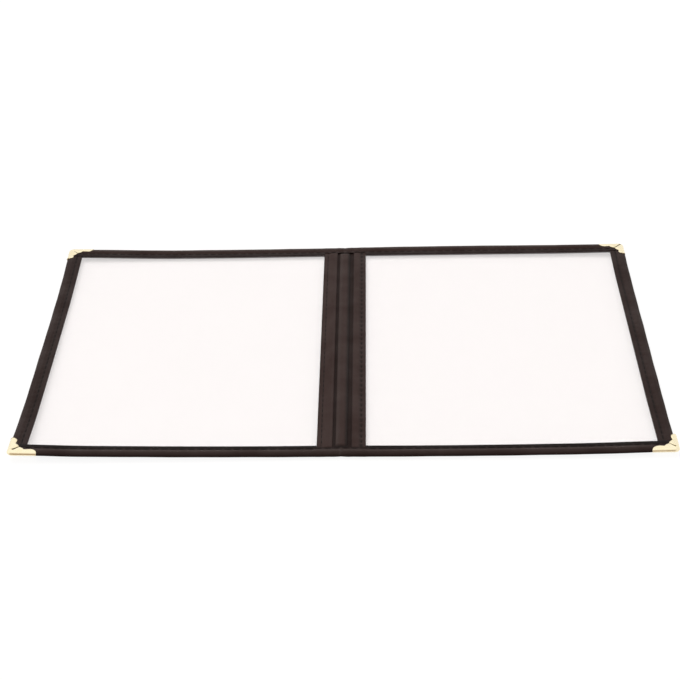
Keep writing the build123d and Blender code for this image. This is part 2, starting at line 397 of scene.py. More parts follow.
brass = {
    "color": (0.9, 0.77, 0.48, 1),
    "pale": (0.97, 0.9, 0.7, 1),
    # colour of painted shade and dark reflection along the clip's inner edges and over its inner face
    "crease": (0.42, 0.27, 0.1, 1),
    "roughness": (0.16, 0.3),
    "cloudScale": 260,
    "cloudRange": (0.3, 0.7),
    "scratch": 0.00002,
    "scratchTurn": 38,
    "scratchScale": (400, 9000, 9000),
}


def brassMaterial():
    material, tree, shader = newMaterial("stampedBrass")
    point = objectPoint(tree)
    cloud = noise(tree, point, brass["cloudScale"], 4)
    color = mixColor(tree, cloud, brass["color"], brass["pale"])
    # painted shade and dark reflection along the inner edges and on the inner face
    color = mixColor(tree, readMark(tree, "seam"), color, brass["crease"])
    rough = spread(tree, cloud, *brass["roughness"], brass["cloudRange"])
    feed(tree, shader, {"Base Color": color, "Metallic": 1, "Roughness": rough})
    turn = (0, 0, math.radians(brass["scratchTurn"]))
    sources = {"Vector": point, "Rotation": turn, "Scale": brass["scratchScale"]}
    along = newNode(tree, "ShaderNodeMapping", sources).outputs["Vector"]
    addBump(tree, shader, noise(tree, along, 1, 2), brass["scratch"])
    return material


thread = {
    "color": (0.006, 0.0042, 0.0038, 1),
    "lit": (0.02, 0.014, 0.0125, 1),
    "twist": 130,
    "waver": 1.5,
    "roughness": 0.7,
    "specular": 0.1,
    "depth": 0.00008,
}


def threadMaterial():
    material, tree, shader = newMaterial("twistedThread")
    sources = {"Vector": objectPoint(tree), "Scale": thread["twist"], "Distortion": thread["waver"]}
    settings = {"wave_type": "BANDS", "bands_direction": "DIAGONAL"}
    ply = newNode(tree, "ShaderNodeTexWave", sources, **settings).outputs["Fac"]
    color = mixColor(tree, ply, thread["color"], thread["lit"])
    feed(tree, shader, {
        "Base Color": color,
        "Roughness": thread["roughness"],
        "Specular IOR Level": thread["specular"],
    })
    addBump(tree, shader, ply, thread["depth"])
    return material


padding = {"dark": (0.3, 0.27, 0.24, 1), "light": (0.42, 0.38, 0.34, 1), "cell": 0.4, "roughness": 0.85}


def paddingMaterial():
    material, tree, shader = newMaterial("stripPadding")
    grain = placeGrain(tree, padding["cell"])
    color = mixColor(tree, grain["Tone"], padding["dark"], padding["light"])
    feed(tree, shader, {"Base Color": color, "Roughness": padding["roughness"]})
    return material


# lit and shaded copies of one leather: each piece is painted lighter or darker as the light falls on it
tapeLeather = {
    "edge": leatherMaterial("shadedEdgeLeather", 0.78),
    "top": leatherMaterial("litTopLeather", 1.1),
    "bottom": leatherMaterial("shadedBottomLeather", 0.84),
}
litBandLeather = leatherMaterial("litBandLeather", 1.15, 0.3)
# darker, for the painted shade down in the folds
shadedFoldLeather = leatherMaterial("shadedFoldLeather", 0.9, 0.3, 0.6)
clearFilm = filmMaterial()
stampedBrass = brassMaterial()
twistedThread = threadMaterial()
stripPadding = paddingMaterial()
print("materials made")


# Tapes along the edges

tape = {
    "thickness": 0.4,
    "lap": 1.3,  # height of its flat where it lies over a hem or another tape
    "pressed": 0.9,  # height of what it lies over
    "slack": 0.03,  # room between the two
    "setback": 2.6,  # over the hems and the strip its inner edge lies back by this much
    "edgeRound": 0.2,
    "seamWidth": 1.7,
    "seamDepth": 0.26,
    "seamBlur": 0.75,
    "gapClear": 0.9,  # how much of the seam's dark and painted shade is missing where a gap shows
    "crestAt": 7.5,
    "crestBlur": 0.9,
    "crestBow": 0.65,  # share of the bowed part in its climb to the crest
    "noseFlat": 0.85,
    "pitch": 6.5,
    "gapLength": 0.85,
    "gapRise": 0.14,
    "gapHighlight": 2.6,
    "pucker": 0.16,
    "puckerAt": 0.9,
    "puckerReach": 1.5,
    "wave": 0.2,
    "sway": 0.12,
    "waveSizes": (61, 23, 11.3),
    "swaySizes": (83, 37),
    "cornerRound": 5.5,
    "squeezed": 0.45,  # under the brass
    "squeezeRun": (-9, -2),  # where that starts and is full, from the window's corner
    "tuckRun": (-0.2, 0.9),  # where an edge tape's ends go under the others, from the same place
    "tuckIn": 0.25,
    "bandRun": (-0.3, 1.2),  # where a long tape comes down off the band, from the window's inner edge
    "insetRun": (-0.35, 0.25),  # and where its setback ends
    "edgeRun": (-1, 0.8),  # where it goes up over the edge tape, from the window's outer edge
    "bandLift": 0.12,
    "endRoom": 0.05,  # its folded end is as high as the rolled edge under the brass and this much
    "endRound": 0.43,
    "endThin": 0.02,
    "station": 0.8125,
    "points": (9, 8, 11),  # across its seam, up to the crest and round the nose
    # the seam line's dark with painted shade in its groove, then painted shade on the ledges of the
    # edge and long tapes
    "seamLineAndShade": 0.9,
    "edgeLedgeShade": 0.1,
    "ledgeShade": {"top": 0.6, "bottom": 0.9},
    "bandLight": 0.35,  # how much of the painted ledge shade goes where a tape lies over a band
}
# how far each tape bows outwards: at its inner edge, at its outer edge, and the lean of the bow
tapeBow = {
    ("front", "top"): (-1.3, -1.0, 1.1),
    ("front", "bottom"): (0.95, 0.4, 0.7),
    ("back", "top"): (0.35, 1.6, 0.7),
    ("back", "bottom"): (1.25, 0.75, 0.7),
    ("front", "edge"): (-0.5, -0.8, 1),
    ("back", "edge"): (0.05, 0.3, 1),
}
ledgeTop = filmTop + tape["thickness"]
tapeSeam = edgeSeamX - windowOut
pressedLimit = tape["pressed"] - tape["slack"]
skinInset = tape["thickness"] * 0.1
roundTurn = np.radians([0, 30, 60, 90])  # over a folded edge
thirds = np.array([0.33, 0.67])  # along the flat behind it


def stitchGap(s, start, stop, phase):
    # 1 where the thread dips between two stitches, and how strongly each gap shows
    stitches = max(1, round((stop - start) / tape["pitch"]))
    pitch = (stop - start) / stitches
    share = (np.clip(s, start, stop) - start) / pitch
    beside = (share - np.round(share)) * pitch
    gap = hump(beside, tape["gapLength"]) * (s >= start) * (s <= stop)
    return gap, 0.5 + 0.5 * np.sin(np.round(share) * 2.4 + phase) ** 2


def tapeHalf(s, start, ledge, roll, seamRun, phase, dark):
    # upper half of the section at each station s: u from the window's line, v up
    s = s[:, None]
    start, ledge, roll = (np.broadcast_to(k, s.shape[:1])[:, None] for k in (start, ledge, roll))
    r, width, crest = tape["edgeRound"], tape["seamWidth"], tape["crestAt"]
    inside, beyond = tapeSeam - width / 2, tapeSeam + width / 2
    seamPoints, climbPoints, nosePoints = tape["points"]
    across = np.linspace(0, 1, seamPoints)
    rise = np.linspace(0, 1, climbPoints)[1:]
    climb = np.sin(rise * math.pi / 2)
    climb = (1 - tape["crestBow"]) * climb + tape["crestBow"] * climb**2
    nose = np.radians(np.linspace(0, 90, nosePoints))[1:]
    parts = (
        (start + r * (1 - np.cos(roundTurn)), ledge - r + r * np.sin(roundTurn)),
        (start + r + (inside - start - r) * thirds, ledge * np.ones((1, 2))),
        (inside + width * across, ledge - tape["seamDepth"] * np.sin(math.pi * across) ** 2),
        (beyond + (crest - beyond) * rise, ledge + (roll - ledge) * climb),
        (crest + (tapeWidth - crest) * np.sin(nose), roll * np.cos(nose) ** tape["noseFlat"]),
    )
    u, v = (np.concatenate([np.ones_like(s) * part for part in row], axis=1) for row in zip(*parts))
    gap, shows = stitchGap(s, *seamRun, phase)
    line = hump(u - tapeSeam, tape["seamBlur"])
    pull = gap * hump(u - beyond - tape["puckerAt"], tape["puckerReach"])
    wander = waves(s, tape["waveSizes"], phase) * np.clip(v - ledge, 0, None) / rollTop
    v = v + tape["gapRise"] * gap * line - tape["pucker"] * pull + tape["wave"] * wander
    u = u + tape["sway"] * waves(s, tape["swaySizes"], phase + 2) * (u / tapeWidth) ** 3
    # painted shade on the ledge between the window and the seam, and the seam's dark line with painted
    # shade in its groove
    ledgeShadeMark = dark * (1 - step(u, tapeSeam, beyond + 0.7))
    clear = 1 - tape["gapClear"] * shows * gap * line
    seamAndShadeMark = np.maximum(ledgeShadeMark, tape["seamLineAndShade"] * line) * clear
    # painted highlight on the crest and on the puffs between stitches
    highlightMark = hump(u - crest, tape["crestBlur"]) + tape["gapHighlight"] * shows * gap * line
    return u, v, np.clip(seamAndShadeMark, 0, 1), np.clip(highlightMark, 0, 2)


def bowed(u, s, leaf, which):
    # a lean below 1 puts the widest place of a long tape nearer to the spine
    inner, outer, lean = tapeBow[leaf, which]
    share = np.clip(np.abs(s) / edgeX, 0, 1) ** lean
    reach = 1 - (np.abs(s) / edgeY) ** 3 if which == "edge" else np.sin(math.pi * share)
    across = np.clip(u / tapeWidth, 0, 1)
    return u + reach * (inner * (1 - across) + outer * across)


def tapeShell(s, start, ledge, inner, roll, seamRun, phase, dark):
    # the whole folded section: upper half, nose, lower half, and the inner skin
    inner = np.broadcast_to(inner, s.shape)[:, None]
    start = np.broadcast_to(start, s.shape)
    upper = tapeHalf(s, start, ledge, roll, seamRun, phase, dark)
    lower = tapeHalf(s, start, ledge, roll, seamRun, phase + 4, dark)
    u, v, seam, highlight = (
        np.concatenate([high, way * low[:, -2::-1]], axis=1)
        for high, low, way in zip(upper, lower, (1, -1, 1, 1))
    )
    innerEnd = filmOut - windowOut + 0.1
    innerU = np.clip(u, start[:, None] + skinInset, innerEnd)
    return u, v, innerU, np.clip(v, -inner, inner), seam, highlight


def roundPlan(x, y):
    # keep the tape's outer corners inside the rounded metal corners
    r = tape["cornerRound"]
    outX, outY = np.abs(x) - (edgeX - r), np.abs(y) - (edgeY - r)
    far = np.hypot(np.clip(outX, 0, None), np.clip(outY, 0, None))
    pull = np.where((outX > 0) & (outY > 0) & (far > r), r / np.maximum(far, 1e-6), 1)
    x = np.where(pull < 1, np.sign(x) * (edgeX - r + outX * pull), x)
    return x, np.where(pull < 1, np.sign(y) * (edgeY - r + outY * pull), y)


def squeeze(s, windowEnd):
    return tape["squeezed"] * stepAt(s, windowEnd, tape["squeezeRun"])


# painted highlight on the crests of the edge tapes and along their outer rims
edgeHighlight = {"crest": 0.3, "rim": 0.8, "rimWidth": 3}


def makeEdgeTape(leaf):
    side = sides[leaf]
    s = stationsAlong(tape["station"])
    away = np.abs(s)
    roll = rollTop - squeeze(away, windowY)
    seamRun = (-seamStopY, seamStopY)
    u, v, innerU, innerV, seam, highlight = tapeShell(
        s, 0, ledgeTop, filmTop, roll, seamRun, 1 + side, tape["edgeLedgeShade"]
    )
    # its ends are pressed flat and drawn in under the other tapes
    tuck = stepAt(away, windowY, tape["tuckRun"])[:, None]
    v = v * (1 - tuck) + np.clip(v, -pressedLimit, pressedLimit) * tuck
    u = np.where(u > tapeWidth - 0.3, u - tape["tuckIn"] * tuck, u)

    def spot(u, v):
        u = bowed(u, s[:, None], leaf, "edge")
        x, y = roundPlan(*np.broadcast_arrays(side * (windowOut + u), s[:, None]))
        return place(x, y, v)

    # painted highlight along the outer rim, where it faces the bright room
    rimHighlight = edgeHighlight["rim"] * step(u, tapeWidth - edgeHighlight["rimWidth"], tapeWidth)
    marks = {"seam": seam, "highlight": (highlight * edgeHighlight["crest"] + rimHighlight) * (1 - tuck)}
    name = f"{leaf}_edge_binding"
    piece = thickSheet(name, spot(u, v), spot(innerU, innerV), tapeLeather["edge"], marks)
    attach(piece, f"{leaf}_cover")
    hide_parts(f"{leaf}_edge_tape")


crease = {
    "reach": 1.1,
    "depth": 0.3,
    "blend": 3,  # the bend starts and ends this far from the fold
    "rise": (0.14, 1.6),  # height and width of the hump beside the fold
    "dip": (0.1, 3),  # depth and width of the hollow beyond the mouth
    "highlightLineAt": 0.8,  # a painted highlight line across the near tape, left of the middle
    "highlightLineWidth": 0.6,
    "highlight": 1.4,
}


def alongTape(s):
    # how the section of a top or bottom tape changes on its way from the spine to the edge
    overBand = 1 - stepAt(s, windowIn, tape["bandRun"])
    overEdge = stepAt(s, windowOut, tape["edgeRun"])
    lapped = np.maximum(overBand, overEdge)
    start = tape["setback"] * (1 - stepAt(s, windowIn, tape["insetRun"]))
    ledge = ledgeTop + (tape["lap"] - ledgeTop) * lapped
    inner = filmTop + (tape["pressed"] - filmTop) * lapped
    (rise, riseWidth), (dip, dipWidth) = crease["rise"], crease["dip"]
    bump = rise * hump(s - foldX, riseWidth) - dip * hump(s - mouthX - dipWidth, dipWidth)
    pinch = crease["depth"] * hump(s, crease["reach"]) + squeeze(s, windowOut)
    return start, ledge, inner, rollTop + tape["bandLift"] * overBand + bump - pinch


def makeLongTape(leaf, end):
    side, way = sides[leaf], ends[end]
    s = np.linspace(0, edgeX, round(edgeX / tape["station"]) + 1)
    start, ledge, inner, roll = alongTape(s)
    u, v, innerU, innerV, seam, highlight = tapeShell(
        s, start, ledge, inner, roll, (0, seamStopX), 3 + 2 * way, tape["ledgeShade"][end]
    )
    # its outer end is folded down as round as the rolled edge beside it
    turned = 1 - np.clip((edgeX - s) / (tapeWidth - tape["crestAt"]), 0, 1)
    height = rollTop - tape["squeezed"] + tape["endRoom"]
    room = (height * (1 - turned**2) ** tape["endRound"] + tape["endThin"])[:, None]
    room = np.where(turned[:, None] > 0, room, rollTop + 1)
    v, innerV = np.clip(v, -room, room), np.clip(innerV, -room, room)
    lapped = ((ledge - ledgeTop) / (tape["lap"] - ledgeTop))[:, None]
    # less painted ledge shade where the tape lies over a band
    seam = seam * (1 - tape["bandLight"] * (s < windowOut / 2)[:, None] * lapped)

    def spot(u, v):
        u = bowed(u, s[:, None], leaf, end)
        x, y = roundPlan(*np.broadcast_arrays(side * s[:, None], way * (windowY + u)))
        return place(x, y, v)

    # a painted highlight line across the near tape
    if (leaf, end) == ("front", "bottom"):
        highlight = highlight + crease["highlight"] * hump(s[:, None] - crease["highlightLineAt"], crease["highlightLineWidth"])
    marks = {"seam": seam, "highlight": highlight}
    name = f"{leaf}_{end}_binding"
    piece = thickSheet(name, spot(u, v), spot(innerU, innerV), tapeLeather[end], marks)
    bendOverFold(piece, leaf)
    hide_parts(f"{leaf}_{end}_tape", f"spine_{end}_tape")


def bendOverFold(piece, leaf):
    if leaf == "front":
        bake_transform(piece)
    else:
        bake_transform(piece)


for leaf in sides:
    makeEdgeTape(leaf)
    for end in ends:
        makeLongTape(leaf, end)
print("edge tapes made")


# Hemmed bands beside the spine

band = {
    "edgeRound": 0.2,
    "seamWidth": 1.3,
    "seamDepth": 0.2,
    "rise": 0.32,
    "swell": 0.62,  # share of a half turn in its rise, so that it falls again towards the mouth
    "mouthRound": 0.65,
    "mouthRun": 1.6,  # length of the rounding in mouthRounds
    "mouthLip": 0.2,
    "mouthShade": 0.45,
    "highlightWidth": 0.5,
    "wave": 0.07,
    "waveSizes": (97, 41, 17),
    "tuckRun": (-0.4, 0.3),
    "gapRise": 0.12,
    "gapHighlight": 0.8,
    "station": 0.8125,
    "points": (7, 12, 8),  # across its seam, over its back and round its mouth
    # painted shade on its ledge, between the window and the seam
    "dark": 0.25,
    "short": {("back", "inside"): 0.9},  # the mouth of this one lies back by as much
    # how dark its seam line is, with painted shade in its groove, how wide, and a power that makes its
    # gaps longer when below 1
    "stitches": {("back", "inside"): (0.85, 1.5, 0.3)},
    "plainStitches": (0.45, 0.6, 1),
}
lapY = windowY + tape["setback"]


def bandSection(width, seam):
    # from the window's edge to the mouth of the pocket
    r, half, lip = band["edgeRound"], band["seamWidth"] / 2, band["mouthLip"]
    run = band["mouthRound"] * band["mouthRun"]
    seamPoints, backPoints, mouthPoints = band["points"]
    across = np.linspace(0, 1, seamPoints)
    swell = np.linspace(0, 1, backPoints)[1:]
    mouth = np.radians(np.linspace(0, 90, mouthPoints))[1:]
    top = ledgeTop + band["rise"] * np.sin(swell * math.pi * band["swell"])
    u = (
        r * (1 - np.cos(roundTurn)),
        thirds * (seam - half),
        seam - half + 2 * half * across,
        seam + half + (width - run - seam - half) * swell,
        width - run * (1 - np.sin(mouth)),
        [width],
    )
    v = (
        ledgeTop - r + r * np.sin(roundTurn),
        np.full(2, ledgeTop),
        ledgeTop - band["seamDepth"] * np.sin(math.pi * across) ** 2,
        top,
        gapTop + lip + (top[-1] - gapTop - lip) * np.cos(mouth),
        [gapTop],
    )
    return np.concatenate(u), np.concatenate(v)


def makeBand(leaf, face):
    side, way = sides[leaf], faces[face]
    short, phase = band["short"].get((leaf, face), 0), 2 * side + way
    width, seam = windowIn - mouthX - short, windowIn - hemSeamX[face]
    s = stationsAlong(band["station"])[:, None]
    u, v = (row * np.ones_like(s) for row in bandSection(width, seam))
    darkness, blur, power = band["stitches"].get((leaf, face), band["plainStitches"])
    gap, shows = stitchGap(s, -seamStopY, seamStopY, phase)
    gap = gap**power
    line = hump(u - seam, blur)
    body = np.clip(v - ledgeTop, 0, None) / band["rise"]
    v = v + band["gapRise"] * gap * line + band["wave"] * waves(s, band["waveSizes"], phase) * body
    tuck = stepAt(np.abs(s), lapY, band["tuckRun"])
    v = v * (1 - tuck) + np.minimum(v, pressedLimit) * tuck
    innerU = np.clip(u, skinInset, width - (filmIn - mouthX))
    innerV = np.where(u > width - 0.01, np.minimum(v, filmTop), filmTop)
    # painted shade on the ledge, and the seam's dark line with painted shade in its groove
    seamAndShadeMark = np.maximum(darkness * line, band["dark"] * (1 - step(u, 0, seam)))
    seamAndShadeMark = seamAndShadeMark * (1 - tape["gapClear"] * gap * line)
    # painted shade in the mouth where it lies back
    if short:
        mouth = step(u, width - band["mouthRun"] * band["mouthRound"], width - 0.3)
        seamAndShadeMark = np.maximum(seamAndShadeMark, band["mouthShade"] * mouth)
    # painted highlight on the puffs between stitches, and on the front bands along the rounded mouth
    highlightMark = band["gapHighlight"] * shows * gap * line
    if leaf == "front":
        highlightMark = highlightMark + hump(u - width + 2 * band["mouthRound"], band["highlightWidth"])

    def spot(u, v):
        return place(side * (windowIn - u), s, way * v)

    marks = {"seam": np.clip(seamAndShadeMark, 0, 1), "highlight": highlightMark}
    piece = thickSheet(f"{leaf}_{face}_band", spot(u, v), spot(innerU, innerV), litBandLeather, marks)
    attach(piece, f"{leaf}_cover")
    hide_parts(f"{leaf}_{face}_hem")


for leaf in sides:
    for face in faces:
        makeBand(leaf, face)
print("bands made")


# Spine strip, its padding, and the webs that carry it in the folds

strip = {
    "foot": foldX - 0.85,
    "crown": 1.62,
    "lean": -1.3,  # the inside ply's crest lies to the left of the middle
    "pressedCrown": 0.84,
    "bulge": 2.5,
    "flank": 2.1,
    "thickness": 0.3,
    "gap": 0.04,  # between its two plies at their feet
    "station": 1.2,
    "columns": 33,
    "hollow": 0.02,  # the least room inside each ply
    "innerShare": 0.97,
    "paddingShare": 0.95,
    "pressedRun": (-3.2, -0.1),  # from where the tapes cross it
    "wave": 0.06,
    "waveSizes": (88, 39, 15),
    "flankShade": 0.8,  # painted shade down the inside ply's right flank
    "flankFrom": 1.1,
    # painted shade where the puff goes down under the tapes
    "endShade": 0.85,
    "endRun": (-2.8, -0.9),
    "highlight": 1.7,
    "highlightLean": 2.3,
    "highlightWidth": 1.5,
}
web = {
    "height": 0.28,
    "pinch": 0.08,
    "pinchWidth": 0.45,
    "start": foldX - 1.75,
    "points": (15, 6),  # up to the mouth of the pocket, and inside it
    # painted shade in the groove of the fold, up to the mouth
    "dark": 0.55,
    "shadeRun": (0.8, 2),
}


def stripProfile(x, s, phase, lean):
    # puffed across, and pressed flat where the tapes cross its ends
    pressed = stepAt(np.abs(s), lapY, strip["pressedRun"])
    crown = strip["crown"] * (1 - pressed) + strip["pressedCrown"] * pressed
    crown = crown + strip["wave"] * waves(s, strip["waveSizes"], phase) * (1 - pressed)
    lean = lean * (1 - pressed)
    room = np.where(x < lean, strip["foot"] + lean, strip["foot"] - lean)
    share = np.clip(np.abs(x - lean) / room, 0, 1)
    return crown * (1 - share ** strip["bulge"]) ** (1 / strip["flank"])


def stripShade(x, s, onInside):
    # painted shade at both feet, down one flank, and under the tapes
    foot = strip["foot"]
    flank = strip["flankShade"] * step(x, strip["flankFrom"], foot - 0.5) * onInside
    ending = strip["endShade"] * stepAt(np.abs(s), lapY, strip["endRun"])
    return np.maximum(np.maximum((np.abs(x) / foot) ** 10, flank), ending)


def makeStrip():
    # points gather at the flanks, where the strip is steepest
    s = stationsAlong(strip["station"])[:, None]
    x = strip["foot"] * np.sin(np.radians(np.linspace(-90, 90, strip["columns"])))[None, :]
    hollows = {}
    for face, way in faces.items():
        lean = strip["lean"] if face == "inside" else 0
        v = stripProfile(x, s, 3 * way, lean) + strip["gap"]
        hollow = hollows[face] = np.clip(v - strip["thickness"], strip["hollow"], None)
        # a painted highlight along the crown, leaning with the inside ply's crest
        highlight = strip["highlight"] * hump(x - strip["highlightLean"] * lean, strip["highlightWidth"])
        marks = {"seam": stripShade(x, s, face == "inside"), "highlight": np.broadcast_to(highlight, v.shape)}
        outer, inner = place(x, s, way * v), place(x * strip["innerShare"], s, way * hollow)
        piece = thickSheet(f"spine_{face}_puff", outer, inner, litBandLeather, marks, sharp=60)
        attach(piece, "spine")
        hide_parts(f"spine_{face}_strip")
    core, less = x * strip["paddingShare"], strip["hollow"]
    upper, lower = place(core, s, hollows["inside"] - less), place(core, s, less - hollows["outside"])
    piece = thickSheet("spine_padding", upper, lower, stripPadding)
    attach(piece, "spine")
    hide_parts("spine_filler")


def makeWeb(leaf):
    side = sides[leaf]
    s = stationsAlong(strip["station"])[:, None]
    before, within = web["points"]
    parts = np.linspace(web["start"], mouthX, before), np.linspace(mouthX, marginEnd, within)[1:]
    x = np.concatenate(parts)[None, :]
    v = web["height"] - web["pinch"] * hump(x - foldX, web["pinchWidth"]) + 0 * s
    # painted shade down in the fold's groove
    dark = web["dark"] * (1 - stepAt(x, mouthX, web["shadeRun"]))
    marks = {"seam": np.broadcast_to(dark, v.shape)}
    piece = thickSheet(f"{leaf}_web", place(side * x, s, v), place(side * x, s, -v), shadedFoldLeather, marks)
    bendOverFold(piece, leaf)
    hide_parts(f"{leaf}_spine_margin")


makeStrip()
for leaf in sides:
    makeWeb(leaf)
print("spine made")


# Geometry node trees


def finishTree(tree, start, stop, geometry):
    # every tree ends with smooth faces, real copies and one material
    for kind in ("SetShadeSmooth", "RealizeInstances", "SetMaterial"):
        node = newNode(tree, f"GeometryNode{kind}", {"Geometry": geometry})
        geometry = node.outputs["Geometry"]
    feed(tree, node, {"Material": start["Material"]})
    feed(tree, stop, {"Geometry": geometry})


def runTree(name, base, tree, values):
    # set the named inputs, then keep the result as a plain mesh
    modifier = base.modifiers.new(name, "NODES")
    modifier.node_group = tree
    for item in tree.interface.items_tree:
        if item.in_out == "INPUT" and item.name in values:
            modifier[item.identifier] = values[item.name]
    graph = bpy.context.evaluated_depsgraph_get()
    mesh = bpy.data.meshes.new_from_object(base.evaluated_get(graph), depsgraph=graph)
    mesh.name = name
    bpy.data.objects.remove(base)
    return addObject(name, mesh)


def makeFilmTree():
    # a grid with slow ripples that die out towards its held edges, given a thickness
    inputs = {
        "Geometry": None,
        "Width": 0.2,
        "Length": 0.3,
        "Thickness": 0.00025,
        "Columns": 100,
        "Rows": 100,
        "Ripple Height": 0.0003,
        "Ripple Size": 0.05,
        "Border": 0.012,
        "Seed": 0.0,
        "Material": None,
    }
    tree, start, stop = socketGroup("filmSheet", "GeometryNodeTree", inputs, {"Geometry": "Geometry"})
    grid = newNode(tree, "GeometryNodeMeshGrid", {
        "Size X": start["Width"],
        "Size Y": start["Length"],
        "Vertices X": start["Columns"],
        "Vertices Y": start["Rows"],
    })
    position = newNode(tree, "GeometryNodeInputPosition").outputs[0]
    parts = splitAxes(tree, position)
    room = []
    for axis, size in (("X", "Width"), ("Y", "Length")):
        away = newMath(tree, "ABSOLUTE", parts[axis])
        reach = newMath(tree, "MULTIPLY", start[size], 0.5)
        room.append(newMath(tree, "SUBTRACT", reach, away))
    nearest = newMath(tree, "MINIMUM", *room)
    deep = newMath(tree, "MULTIPLY", start["Border"], 3.0)
    sources = {"Value": nearest, "From Min": start["Border"], "From Max": deep}
    fade = newNode(tree, "ShaderNodeMapRange", sources, interpolation_type="SMOOTHSTEP")
    scale = newMath(tree, "DIVIDE", 1, start["Ripple Size"])
    sources = {"Vector": position, "W": start["Seed"], "Scale": scale, "Detail": 1}
    ripples = newNode(tree, "ShaderNodeTexNoise", sources, noise_dimensions="4D")
    swing = newMath(tree, "SUBTRACT", ripples.outputs["Fac"], 0.5)
    swing = newMath(tree, "MULTIPLY", swing, start["Ripple Height"])
    swing = newMath(tree, "MULTIPLY", swing, fade.outputs["Result"])
    sources = {"Geometry": grid.outputs["Mesh"], "Offset": joinAxes(tree, Z=swing)}
    sheet = newNode(tree, "GeometryNodeSetPosition", sources).outputs["Geometry"]
    sources = {"Mesh": sheet, "Offset Scale": start["Thickness"], "Individual": False}
    thick = newNode(tree, "GeometryNodeExtrudeMesh", sources, mode="FACES")
    flip = newNode(tree, "GeometryNodeFlipFaces", {"Mesh": sheet})
    both = newNode(tree, "GeometryNodeJoinGeometry", {"Geometry": thick.outputs["Mesh"]})
    feed(tree, both, {"Geometry": flip.outputs["Mesh"]})
    sources = {"Geometry": both.outputs["Geometry"], "Distance": 0.00001}
    close = newNode(tree, "GeometryNodeMergeByDistance", sources)
    finishTree(tree, start, stop, close.outputs["Geometry"])
    return tree


def makeFilm(leaf, face, tree, number):
    side, way = sides[leaf], faces[face]
    inmost = filmIn + band["short"].get((leaf, face), 0)
    width, length, thickness = filmOut - inmost, 2 * filmY, filmTop - gapTop
    base = addObject("filmBase", bpy.data.meshes.new("filmBase"))
    piece = runTree(f"{leaf}_{face}_sheet", base, tree, {
        "Width": width * mm,
        "Length": length * mm,
        "Thickness": (thickness - film["slack"]) * mm,
        "Columns": film["columns"],
        "Rows": film["rows"],
        "Ripple Height": film["rippleHeight"] * mm,
        "Ripple Size": film["rippleSize"] * mm,
        "Border": film["border"] * mm,
        "Seed": float(seed + number),
        "Material": clearFilm,
    })
    points = np.empty(len(piece.data.vertices) * 3)
    piece.data.vertices.foreach_get("co", points)
    points = points.reshape(-1, 3) / mm
    low = (gapTop if way > 0 else -filmTop) + film["slack"] / 2
    x = points[:, 0] + side * (inmost + filmOut) / 2
    settled = place(x, points[:, 1], points[:, 2] + low)
    piece.data.vertices.foreach_set("co", (settled * mm).ravel())
    piece.data.set_sharp_from_angle(angle=math.radians(40))
    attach(piece, f"{leaf}_cover")
    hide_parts(f"{leaf}_{face}_film")


filmTree = makeFilmTree()
for number, (leaf, face) in enumerate((leaf, face) for leaf in sides for face in faces):
    makeFilm(leaf, face, filmTree, number)
print("films made")


# Stitches

stitch = {
    "share": 0.72,  # of the pitch
    "radius": 0.28,
    "sink": 0.3,
    "rise": 0.3,
    "wander": 2.5,
    "sideCount": 6,
    "rings": 6,
    "edgePoints": 60,  # along each straight seam
    "tapePoints": 160,  # and along each that runs on over the spine
}


def makeStrand(tree, start):
    # one stitch: a thread bowed up in the middle, with both ends sunk
    half = newMath(tree, "MULTIPLY", start["Length"], 0.5)
    back = newMath(tree, "MULTIPLY", half, -1)
    down = newMath(tree, "MULTIPLY", start["Sink"], -1)
    bow = newNode(tree, "GeometryNodeCurveQuadraticBezier", {
        "Resolution": stitch["rings"],
        "Start": joinAxes(tree, X=back, Z=down),
        "Middle": joinAxes(tree, Z=start["Rise"]),
        "End": joinAxes(tree, X=half, Z=down),
    })
    sources = {"Resolution": stitch["sideCount"], "Radius": start["Thread Radius"]}
    loop = newNode(tree, "GeometryNodeCurvePrimitiveCircle", sources)
    sources = {"Curve": bow.outputs["Curve"], "Profile Curve": loop.outputs["Curve"], "Fill Caps": True}
    return newNode(tree, "GeometryNodeCurveToMesh", sources).outputs["Mesh"]


